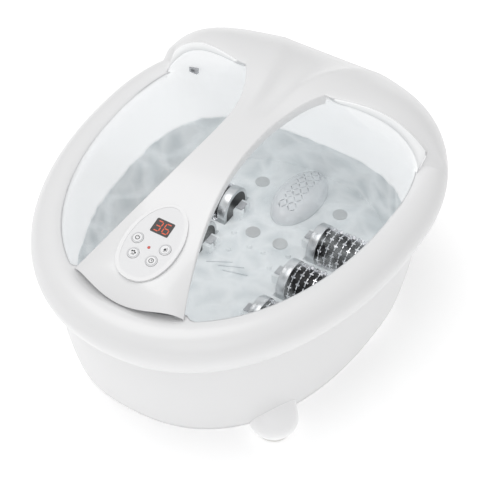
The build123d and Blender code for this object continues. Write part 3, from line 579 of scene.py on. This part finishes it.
def rim_top_point(angle, back):
    """Rim's own top surface: back 0 at the inner lip to 1 at the widest line; wider below the apron."""
    x, y = rim_egg(angle, -LIP_INSET)
    shelf = SHELF_DEPTH * smooth((SHELF_HALF - abs(x)) / SHELF_FADE) if y < 0 else 0.0
    inset = LIP_INSET + shelf
    out = -inset + (RIM_RADIUS + inset) * back
    if out >= 0:
        z = RIM_Z + math.sqrt(max(RIM_RADIUS ** 2 - out * out, 0))
    else:
        z = RIM_Z + RIM_RADIUS - LIP_THICK * min((out / LIP_INSET) ** 2, 1.0)
    x, y = rim_egg(angle, out)
    return Vector((x, y, z))


def cover_point(angle, kind, value):
    """One point of the cover: collar, top, lip, liner or wall row."""
    if kind == "collar":
        z = COLLAR_LOW_Z + (RIM_Z - COLLAR_LOW_Z) * value
        swell = math.sin(value * math.pi / 2) ** COLLAR_POWER
        x, y = rim_egg(angle, COLLAR_LOW_OUT + (RIM_RADIUS - COLLAR_LOW_OUT) * swell)
        return Vector((x, y, z))
    if kind == "wall":
        return tub_point(angle, WALL_LOW_Z + (WALL_HIGH_Z - WALL_LOW_Z) * value, LINING_INSET)
    across = hood_share(angle)
    weight = smooth((1 - abs(across)) / HOOD_BLEND) if across is not None else 0.0
    if kind == "top":
        plain = rim_top_point(angle, value)
        return plain.lerp(hood_point(across, value), weight) if weight else plain
    top = cover_point(angle, "top", 0.0)
    inward = Vector((-top.x, LIP_AIM_Y - top.y, 0)).normalized()
    if weight:
        inward = inward.lerp(Vector((0, -1, 0)), weight).normalized()
    if kind == "lip":
        turn = value * math.pi
        edge = top + inward * (0.5 * LIP_THICK * math.sin(turn)) * weight
        return edge - Vector((0, 0, LIP_THICK * 0.5 * (1 - math.cos(turn)))) * weight
    inner_top = cover_point(angle, "lip", 1.0) - inward * LIP_SETBACK * weight
    return inner_top.lerp(tub_point(angle, LINER_FOOT_Z), value)


def cover_rows():
    """Row kinds from the collar's lower edge over the top and down the inner wall."""
    rows = [("collar", value) for value in COLLAR_ROWS]
    rows += [("top", math.sin(turn)) for turn in steps(math.pi / 2, 0, TOP_ROW_COUNT)]
    rows += [("lip", value) for value in LIP_ROWS]
    rows += [("liner", value) for value in LINER_ROWS]
    rows += [("wall", value) for value in steps(1.0, 0.0, WALL_ROW_COUNT)]
    return rows


def cover_angles():
    """Angles round the cover: even round the rim, matched to the bridge's columns at the back."""
    inner = deck_half_width(HOOD_LIP_Y) / HOOD_END_HALF
    middle = [inner * share for share in BRIDGE_SHARES]
    side = [inner + (1 - inner) * math.sin(turn) for turn in steps(0, math.pi / 2, HOOD_COLUMNS)][1:]
    across = [-share for share in reversed(side)] + middle + side
    hood_part = [math.pi / 2 - share * HOOD_SPAN for share in across]
    rest = steps(math.pi - HOOD_END_ANGLE, HOOD_END_ANGLE + 2 * math.pi, RIM_COLUMNS)[1:-1]
    return list(reversed(hood_part)) + rest


def rim_and_wall():
    """Points, faces and material slots of rim, hood and inner wall, open where the bridge meets the hood."""
    kinds, angles = cover_rows(), cover_angles()
    verts, faces = grid([[cover_point(a, kind, value) for a in angles] for kind, value in kinds], True)
    join_half = deck_half_width(HOOD_LIP_Y) - JOIN_SLACK
    kept, slots = [], []
    for face in faces:
        row = face[0] // len(angles)
        kind, next_kind = kinds[row][0], kinds[row + 1][0]
        middle = (verts[face[0]] + verts[face[1]]) / 2
        behind_bridge = abs(middle.x) < join_half and middle.y > 0
        if "lip" in (kind, next_kind) and behind_bridge:
            continue
        kept.append(face)
        slots.append(1 if kind in ("liner", "wall") else 0)
    return verts, kept, slots


def bridge_edge(spot, side, depth):
    """Points from the bridge's top edge round its roll and down its side wall."""
    profile = BRIDGE_ROLL + ((SKIRT_OUT, depth * SKIRT_BEND + SKIRT_DROP), (0.0, depth + SKIRT_DROP))
    return [spot + Vector((side * out, 0, -down)) for out, down in profile]


def bridge():
    """Points and faces of the bridge with its rolled edges and side walls."""
    rows = []
    for y in steps(APRON_Y, HOOD_LIP_Y, BRIDGE_ROWS):
        row = [deck_point(share, y) for share in BRIDGE_SHARES]
        depth = DECK_SKIRT * smooth((y - APRON_Y) / SKIRT_RUN) + SKIRT_FRONT
        left, right = bridge_edge(row[0], -1, depth), bridge_edge(row[-1], 1, depth)
        rows.append(list(reversed(left)) + row + right)
    return grid(rows, False)


def build_cover():
    """Rim, hood, bridge and basin wall as one smooth moulding."""
    rim_verts, rim_faces, slots = rim_and_wall()
    bridge_verts, bridge_faces = bridge()
    verts, faces = joined([(rim_verts, rim_faces), (bridge_verts, bridge_faces)])
    slots += [0] * len(bridge_faces)
    cover = add_mesh("body_cover", verts, faces, materials["white_body"], slots=slots)
    cover.data.materials.append(materials["basin_lining"])
    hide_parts("rim_casing", "console_bridge", "rear_hood", "hood_liner")


# ---------------------------------------------------------------- light strips
STRIP_SPAN = (0.36, 0.975)      # share of the hood's half width that a strip covers
STRIP_HEIGHTS = (4.0, 19.0)     # at its inner and its outer end
STRIP_HEIGHT_POWER = 0.6
STRIP_STAND = 2.9               # how far a strip stands out from the lining
STRIP_ROUND = 0.5
STRIP_TOP = 0.4                 # how far round the lip a strip starts
STRIP_COLUMNS = 40


def strip_section(across, side):
    """Closed section of a strip, from right under the hood's lip out, down its front and back in."""
    reach = (across - STRIP_SPAN[0]) / (STRIP_SPAN[1] - STRIP_SPAN[0])
    height = STRIP_HEIGHTS[0] + (STRIP_HEIGHTS[1] - STRIP_HEIGHTS[0]) * reach ** STRIP_HEIGHT_POWER
    angle = math.pi / 2 - side * across * HOOD_SPAN
    top, foot = cover_point(angle, "lip", STRIP_TOP), cover_point(angle, "liner", 1.0)
    low = top.lerp(foot, min(height / (foot - top).length, 1.0))
    out = Vector((0, -STRIP_STAND, 0))
    edge = (low - top).normalized() * STRIP_ROUND
    return [top, top + out * 0.4, top + out * 0.6 + edge, low + out - edge, low + out * 0.8, low - out]


def build_strips():
    """Light strips on the lining, one over each foot bay."""
    for side, side_name in ((-1, "left"), (1, "right")):
        rows = [strip_section(across, side) for across in steps(*STRIP_SPAN, STRIP_COLUMNS)]
        verts, faces = grid(rows, True)
        last = len(verts) - len(rows[0])
        faces += [tuple(range(len(rows[0]))), tuple(range(last, len(verts)))]
        strip = add_mesh("strip_cover_" + side_name, verts, faces, materials["strip_lens"])
        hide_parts("light_strip_" + side_name)


# ---------------------------------------------------------------- body wall and legs
BODY_ROWS, BODY_POINTS = 26, 220
UNDER_EDGE = ((0.90, 0.0), (0.985, 0.0), (0.996, 0.6))  # share of the plan and rise, in below the wall
LEG_RADIUS = 26.0
LEG_SETBACK = 0.10          # share of the lean by which a whole leg stands in from its rubber foot
LEG_DEPTH = 5.0             # a leg's inner side stays this close behind the body wall
LEG_TOP_Z, LEG_TOP_RADIUS, LEG_LEAN = 40.0, 22.0, 34.0
LEG_POINTS = 56
PAD_LOW_RADIUS, PAD_TOP_Z = 18.0, 3.4
LEG_ROUND = LEG_RADIUS - PAD_LOW_RADIUS + 1.5       # rounding of the leg's lower edge
SOLE_RADII = (0.01, PAD_LOW_RADIUS - 3.0)           # flat middle of the leg's underside
LEG_TURNS = steps(0.15, math.pi / 2, 9)             # round the lower edge
LEG_SHARES = steps(0.08, 1.0, 14)                   # from there to the top


def build_body():
    """Body wall below the collar."""
    rows = []
    for z in steps(BASE_Z, BODY_TOP_Z, BODY_ROWS):
        sizes, powers = body_shape(z)
        rows.append([Vector((*egg(a, *sizes, powers), z)) for a in turns(BODY_POINTS)])
    under = [[Vector((p.x * share, EGG_Y + (p.y - EGG_Y) * share, BASE_Z + rise)) for p in rows[0]]
             for share, rise in UNDER_EDGE]
    verts, faces = grid(under + rows, True)
    body = add_mesh("body_wall", verts, faces, materials["white_body"])
    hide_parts("lower_shell")


def by_the_wall(p):
    """The point itself, or moved out so that it stays close behind the body wall."""
    if p.z < BASE_Z:
        return p
    sizes, powers = body_shape(p.z)
    front = p.y < EGG_Y
    power = powers[0] if front else powers[1]
    reach = sizes[1] if front else sizes[2]
    away = Vector((p.x, p.y - EGG_Y, 0))
    level = (abs(away.x) / sizes[0]) ** power + (abs(away.y) / reach) ** power
    least = away.length * level ** (-1 / power) - LEG_DEPTH
    if away.length >= least:
        return p
    away = away.normalized() * least
    return Vector((away.x, EGG_Y + away.y, p.z))


def leg_profile():
    """Radius, height and lean of each ring of a leg, from the middle of its foot up."""
    profile = [(radius, PAD_TOP_Z, 0.0) for radius in SOLE_RADII]
    for turn in LEG_TURNS:
        radius = LEG_RADIUS - LEG_ROUND * (1 - math.sin(turn))
        profile.append((radius, PAD_TOP_Z + LEG_ROUND * (1 - math.cos(turn)), 0.0))
    start = PAD_TOP_Z + LEG_ROUND
    for share in LEG_SHARES:
        lean = smooth(share)
        radius = LEG_RADIUS + (LEG_TOP_RADIUS - LEG_RADIUS) * lean
        profile.append((radius, start + (LEG_TOP_Z - start) * share, lean))
    return profile


def leg_rows(x, y):
    """Rows of one leg: rounded at the floor, leaning in above until it is lost in the body wall."""
    inward = Vector((-x, EGG_Y - y, 0)).normalized() * LEG_LEAN
    centre = Vector((x, y, 0)) + inward * LEG_SETBACK
    return [[by_the_wall(centre + inward * lean + p) for p in ring(radius, z, LEG_POINTS)]
            for radius, z, lean in leg_profile()]


def foot_spots():
    """Middle of each rubber foot, from the node's own points in the four quarters of the plan."""
    feet = frame["nodes"]["rubber_feet"]
    quarters = {}
    for vertex in feet.data.vertices:
        spot = (feet.matrix_world @ vertex.co) / MM
        quarters.setdefault((spot.x > 0, spot.y > 0), []).append(spot)
    spots = []
    for points in quarters.values():
        xs = [p.x for p in points]
        ys = [p.y for p in points]
        spots.append(((min(xs) + max(xs)) / 2, (min(ys) + max(ys)) / 2))
    return sorted(spots)


def build_legs():
    """Four stub legs, placed over the frame's rubber feet."""
    for number, (x, y) in enumerate(foot_spots(), start=1):
        verts, faces = grid(leg_rows(x, y), True)
        leg = add_mesh("leg_" + str(number), verts, faces, materials["leg_plastic"])


# ---------------------------------------------------------------- water
WATER_ROWS, WATER_POINTS = 30, 200
WATER_INSET = 0.5
WATER_MIDDLE = 0.02         # share of the plan at which the sheet's first row lies


def build_water():
    """Thin sheet of water that just meets the basin's wall."""
    shore = [tub_point(a, WATER_Z, WATER_INSET) for a in turns(WATER_POINTS)]
    rows = [[Vector((p.x * share, EGG_Y + (p.y - EGG_Y) * share, WATER_Z)) for p in shore]
            for share in steps(WATER_MIDDLE, 1.0, WATER_ROWS)]
    verts, faces = grid(rows, True)
    add_mesh("water", verts, faces, water_material())


# ---------------------------------------------------------------- rollers
ROLLERS = [side + "_" + str(number) for side in ("left", "right") for number in (1, 2, 3)]
BARREL_RADIUS = 20.0
STUD_RADIUS = 24.0          # over the studs and the end collar
COLLAR_LENGTH = 11.0
COLLAR_POINTS = 64
STUD_PITCH = 7.9
STUD_COLUMNS = 7
STUDS_AROUND = 12
STUD_START = 4.6            # middle of the first ring of studs, out from the collar
STUD_ROOT = 0.3             # depth of a stud's foot in the barrel
STUD_BLOCKS = (             # turn from the stud's middle (radians) and size of each block of a plus
    (-0.14, (1.8, 4.2, 3.6)),
    (0.0, (1.9, 4.6, 4.2)),
    (0.14, (1.8, 4.2, 3.6)),
    (0.0, (6.4, 1.8, 3.5)),
)
STUD_BEVEL = 0.25


def studs():
    """Every plus-shaped stud on one roller; +Z runs outward along the axle."""
    shapes = []
    stand = Matrix.Rotation(math.pi / 2, 4, "Y")
    for column in range(STUD_COLUMNS):
        along = COLLAR_LENGTH + STUD_START + STUD_PITCH * column
        out = Matrix.Translation((BARREL_RADIUS - STUD_ROOT, 0, along))
        for k in range(STUDS_AROUND):
            turn = 2 * math.pi * (k + 0.5 * (column % 2)) / STUDS_AROUND
            for offset, size in STUD_BLOCKS:
                spin = Matrix.Rotation(turn + offset, 4, "Z")
                shapes.append(block(spin @ out @ stand, size))
    return joined(shapes)


def collar():
    """End collar of one roller, about +Z: rounded edges, and a step down to the barrel beside the studs."""
    r, b, length = STUD_RADIUS, BARREL_RADIUS, COLLAR_LENGTH
    profile = [(b - 0.2, 0.0), (r - 1.0, 0.0), (r - 0.3, 0.3), (r, 1.0), (r, length - 0.8),
               (r - 0.3, length - 0.2), (r - 0.9, length), (b + 1.2, length), (b - 0.2, length - 0.2)]
    return grid([ring(radius, z, COLLAR_POINTS) for radius, z in profile], True)


def build_rollers():
    """Plated collar and studs on each barrel, turning with its roller."""
    verts, faces = joined([collar(), studs()])
    for name in ROLLERS:
        low, high = corners("roller_" + name + "_core")
        middle = (low + high) / 2
        side = -1 if middle.x < 0 else 1
        start = min(abs(low.x), abs(high.x)) * side
        lay_down = Matrix.Rotation(side * math.pi / 2, 4, "Y")
        place = Matrix.Translation((start, middle.y, middle.z)) @ lay_down
        piece = add_mesh("roller_" + name + "_plating", [place @ v for v in verts], faces,
                         materials["roller_chrome"], body="roller_" + name)
        piece.data.materials.append(materials["collar_silver"])
        for polygon in piece.data.polygons:
            centre = place.inverted() @ (Vector(polygon.center) / MM)
            on_collar = centre.z < COLLAR_LENGTH + 1
            polygon.material_index = 1 if on_collar else 0
            polygon.use_smooth = on_collar
        bevel = piece.modifiers.new("bevel", "BEVEL")
        bevel.width = STUD_BEVEL * MM
        bevel.segments = 1
        bevel.limit_method = "ANGLE"
        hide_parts("roller_" + name + "_sleeve")


# ---------------------------------------------------------------- dome
DOME_ROWS, DOME_POINTS = 26, 96
DOME_POWER = 0.85           # how full the dome's crown is
DOME_SINK = 0.2             # its edge reaches this far below its seat
DOME_WALL = 1.8
LATTICE_X, LATTICE_Y = 5.8, 7.0
LATTICE_COLUMNS, LATTICE_ROWS = range(-2, 2), range(-5, 6)
SLIT = (1.1, 5.0, 14.0)
SLIT_REACH = 12.0           # the slits' cutters start this far below the dome's top


def dome_shell(low, high):
    """Points and faces of the dome's outer surface between its lowest and highest corner."""
    centre_y, half_y = (low.y + high.y) / 2, (high.y - low.y) / 2
    rise = high.z - low.z
    rows = []
    for share in steps(0.0, 1.0, DOME_ROWS)[1:]:
        turn = share * math.pi / 2
        reach_x, reach_y = high.x * math.sin(turn), half_y * math.sin(turn)
        z = low.z - DOME_SINK + (rise + DOME_SINK) * math.cos(turn) ** DOME_POWER
        rows.append([Vector((reach_x * math.cos(a), centre_y + reach_y * math.sin(a), z))
                     for a in turns(DOME_POINTS)])
    verts, faces = grid(rows, True)
    verts.append(Vector((0, centre_y, high.z)))
    faces += [(len(verts) - 1, i, (i + 1) % DOME_POINTS) for i in range(DOME_POINTS)]
    return verts, faces


def slit_cutters(centre_y, top):
    """Blocks that cut the diamond lattice of slits, leaning to and fro by turns."""
    shapes = []
    for j in LATTICE_ROWS:
        for i in LATTICE_COLUMNS:
            x, y = (i + 0.5) * LATTICE_X, centre_y + (j + 0.5) * LATTICE_Y
            lean = math.atan2(LATTICE_X, LATTICE_Y) * (1 if (i + j) % 2 else -1)
            place = Matrix.Translation((x, y, top - SLIT_REACH)) @ Matrix.Rotation(lean, 4, "Z")
            shapes.append(block(place, SLIT))
    return joined(shapes)


def build_dome():
    """Dome with a diamond lattice of real slits in its crown."""
    low, high = corners("herb_dome")
    dome = add_mesh("dome_cover", *dome_shell(low, high), materials["dome_plastic"], body="herb_dome")
    shell = dome.modifiers.new("wall", "SOLIDIFY")
    shell.thickness = DOME_WALL * MM
    cutters = slit_cutters((low.y + high.y) / 2, high.z)
    cutter = add_mesh("dome_cutter", *cutters, materials["dome_plastic"], body="herb_dome")
    slits = dome.modifiers.new("slits", "BOOLEAN")
    slits.operation = "DIFFERENCE"
    slits.object = cutter
    slits.solver = "EXACT"
    bpy.context.view_layer.update()
    solid = bpy.data.meshes.new_from_object(dome.evaluated_get(bpy.context.evaluated_depsgraph_get()))
    dome.modifiers.clear()
    dome.data = solid
    bpy.data.objects.remove(cutter)
    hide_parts("herb_dome")


# ---------------------------------------------------------------- control panel
PANEL = Matrix.Translation((0, PANEL_Y, PANEL_Z)) @ Matrix.Rotation(math.radians(PANEL_TILT), 4, "X")
BUTTON_SPOTS = {
    "button_power": (-16.0, -8.0),
    "button_light": (16.0, -8.0),
    "button_heat": (-10.5, -24.5),
    "button_timer": (10.5, -24.5),
}
BUTTON_TOP = 1.42           # marks lie this far above the panel plane, on the buttons (printed symbols and painted edge-shade rings) and on the window
WINDOW_TOP = 0.74
RING_RADIUS, RING_WIDTH, RING_STEPS = 4.9, 0.5, 49
WINDOW_Y = 12.4
DIGIT_HALF_WIDTH, DIGIT_HALF_HEIGHT = 3.0, 5.5
DIGIT_SPOTS = {"3": -4.8, "6": 4.8}
SEGMENTS = {"3": "abgcd", "6": "afgedc"}
SEGMENT_WIDTH, SEGMENT_GAP = 1.15, 0.7
RAY_ANGLES = (-100, -60, -20, 20, 60)
RAY_START, RAY_END, RAY_WIDTH = 1.6, 2.9, 0.55
HEAT_DOTS = ((-1.9, 1.4), (0.1, 2.0), (1.9, 0.6))
HEAT_WAVES = (-1.2, 0.0, 1.2)


def flat_arc(radius, width, start=0, end=360, count=24, middle=(0, 0)):
    """Flat ring or arc in the panel's plane, as points and faces."""
    verts = []
    for a in steps(math.radians(start), math.radians(end), count):
        for r in (radius - width / 2, radius + width / 2):
            verts.append(Vector((middle[0] + r * math.cos(a), middle[1] + r * math.sin(a), 0)))
    faces = [(2 * i, 2 * i + 1, 2 * i + 3, 2 * i + 2) for i in range(count - 1)]
    return verts, faces


def flat_bar(x0, y0, x1, y1, width):
    """Flat bar between two points in the panel's plane."""
    run = Vector((x1 - x0, y1 - y0, 0)).normalized() * (width / 2)
    side = Vector((-run.y, run.x, 0))
    a, b = Vector((x0, y0, 0)), Vector((x1, y1, 0))
    return [a - side, b - side, b + side, a + side], [(0, 1, 2, 3)]


def print_on(name, shapes, spot, lift, material, body):
    """Thin flat mark on the panel: printed symbols, lit digits and the grey rings of painted edge shade."""
    verts, faces = joined(shapes)
    place = PANEL @ Matrix.Translation((*spot, lift))
    return add_mesh(name, [place @ v for v in verts], faces, materials[material], body=body)


def ray(angle):
    """One ray of the light symbol."""
    c, s = math.cos(math.radians(angle)), math.sin(math.radians(angle))
    return flat_bar(RAY_START * c, RAY_START * s, RAY_END * c, RAY_END * s, RAY_WIDTH)


def symbol_shapes():
    """Plain printed symbol of each button, about the button's middle."""
    stem = flat_bar(0, 0.4, 0, 2.7, width=0.8)
    hands = [flat_bar(0, 0, 0, 1.5, width=0.6), flat_bar(0, 0, 1.1, 0, width=0.6)]
    dots = [flat_arc(radius=0.5, width=1.0, count=13, middle=spot) for spot in HEAT_DOTS]
    waves = [flat_bar(x, -2.4, x + 0.5, -0.4, width=0.6) for x in HEAT_WAVES]
    return {
        "button_power": [flat_arc(radius=2.1, width=0.8, start=-240, end=60), stem],
        "button_light": [flat_arc(radius=0.65, width=1.3)] + [ray(angle) for angle in RAY_ANGLES],
        "button_heat": dots + waves,
        "button_timer": [flat_arc(radius=2.3, width=0.7)] + hands,
    }


def digit_shapes(digit):
    """Lit segments of one digit about its middle."""
    w, h = DIGIT_HALF_WIDTH, DIGIT_HALF_HEIGHT
    strokes = {"a": (-w, h, w, h), "g": (-w, 0, w, 0), "d": (-w, -h, w, -h), "f": (-w, 0, -w, h),
               "b": (w, 0, w, h), "e": (-w, -h, -w, 0), "c": (w, -h, w, 0)}
    shapes = []
    for key in SEGMENTS[digit]:
        x0, y0, x1, y1 = strokes[key]
        gap = Vector((x1 - x0, y1 - y0)).normalized() * SEGMENT_GAP
        shapes.append(flat_bar(x0 + gap.x, y0 + gap.y, x1 - gap.x, y1 - gap.y, SEGMENT_WIDTH))
    return shapes


def build_panel():
    """Symbols on the buttons, thin grey rings of painted edge shade round them and the lit digits."""
    for name, shapes in symbol_shapes().items():
        spot = BUTTON_SPOTS[name]
        symbol = print_on(name + "_symbol", shapes, spot, BUTTON_TOP, "dark_print", name)
        outline = [flat_arc(RING_RADIUS, RING_WIDTH, count=RING_STEPS)]
        # painted shade: a grey ring near each button's edge stands in for the shade in its gap
        button_ring = print_on(name + "_ring", outline, spot, BUTTON_TOP, "painted_edge_shade", name)
    for digit, x in DIGIT_SPOTS.items():
        name = "display_digit_" + digit
        mark = print_on(name, digit_shapes(digit), (x, WINDOW_Y), WINDOW_TOP, "lit_red", "basin")


# ---------------------------------------------------------------- camera and light (metres)
VIEW_AZIMUTH = 32.0         # degrees, from the front toward +X
VIEW_ELEVATION = 45.26
VIEW_DISTANCE = 1.735
VIEW_TARGET = Vector((0, 0.0135, 0.086))
LENS, SENSOR_WIDTH = 120.0, 36.0    # millimetres
LIGHT_TARGET = Vector((0, 0, 0.1))
FLOOR_HALF = 30.0
FLOOR_COLOR = (0.95, 0.95, 0.95)
STUDIO_WHITE = (1, 1, 1)
FLOOR_GLOW = 0.30
WORLD_STRENGTH = 0.50


def add_camera():
    """The scene's camera, aimed near the middle of the basin."""
    turn, rise = math.radians(VIEW_AZIMUTH), math.radians(VIEW_ELEVATION)
    away = Vector((math.sin(turn) * math.cos(rise), -math.cos(turn) * math.cos(rise), math.sin(rise)))
    data = bpy.data.cameras.new("camera")
    data.lens = LENS
    data.sensor_width = SENSOR_WIDTH
    camera = bpy.data.objects.new("camera", data)
    camera.location = VIEW_TARGET + away * VIEW_DISTANCE
    camera.rotation_euler = (-away).to_track_quat("-Z", "Y").to_euler()
    bpy.context.scene.collection.objects.link(camera)
    bpy.context.scene.camera = camera


def add_area(name, place, size, power):
    """Round soft light aimed at the object."""
    data = bpy.data.lights.new(name, "AREA")
    data.shape = "DISK"
    data.size = size
    data.energy = power
    light = bpy.data.objects.new(name, data)
    light.location = place
    light.rotation_euler = (LIGHT_TARGET - Vector(place)).to_track_quat("-Z", "Y").to_euler()
    bpy.context.scene.collection.objects.link(light)


def add_floor():
    """Plain pale floor."""
    h = FLOOR_HALF
    mesh = bpy.data.meshes.new("floor")
    mesh.from_pydata([(-h, -h, 0), (h, -h, 0), (h, h, 0), (-h, h, 0)], [], [(0, 1, 2, 3)])
    material, _, shader = new_material("floor_paper", FLOOR_COLOR, roughness=0.7)
    glow(shader, STUDIO_WHITE, FLOOR_GLOW)
    mesh.materials.append(material)
    floor = bpy.data.objects.new("floor", mesh)
    bpy.context.scene.collection.objects.link(floor)


def add_world():
    """Even white light from all round, shown without a film look."""
    world = bpy.data.worlds.new("studio")
    world.use_nodes = True
    background = world.node_tree.nodes["Background"]
    background.inputs["Color"].default_value = (*STUDIO_WHITE, 1)
    background.inputs["Strength"].default_value = WORLD_STRENGTH
    bpy.context.scene.world = world
    bpy.context.scene.view_settings.view_transform = "Standard"


add_camera()
dress_nodes()
build_cover()
build_strips()
build_body()
build_legs()
build_water()
build_rollers()
build_dome()
build_panel()
add_floor()
add_world()
add_area("overhead", (-0.5, -0.2, 2.6), size=2.4, power=30)
add_area("front", (1.4, -1.8, 1.4), size=1.8, power=6)
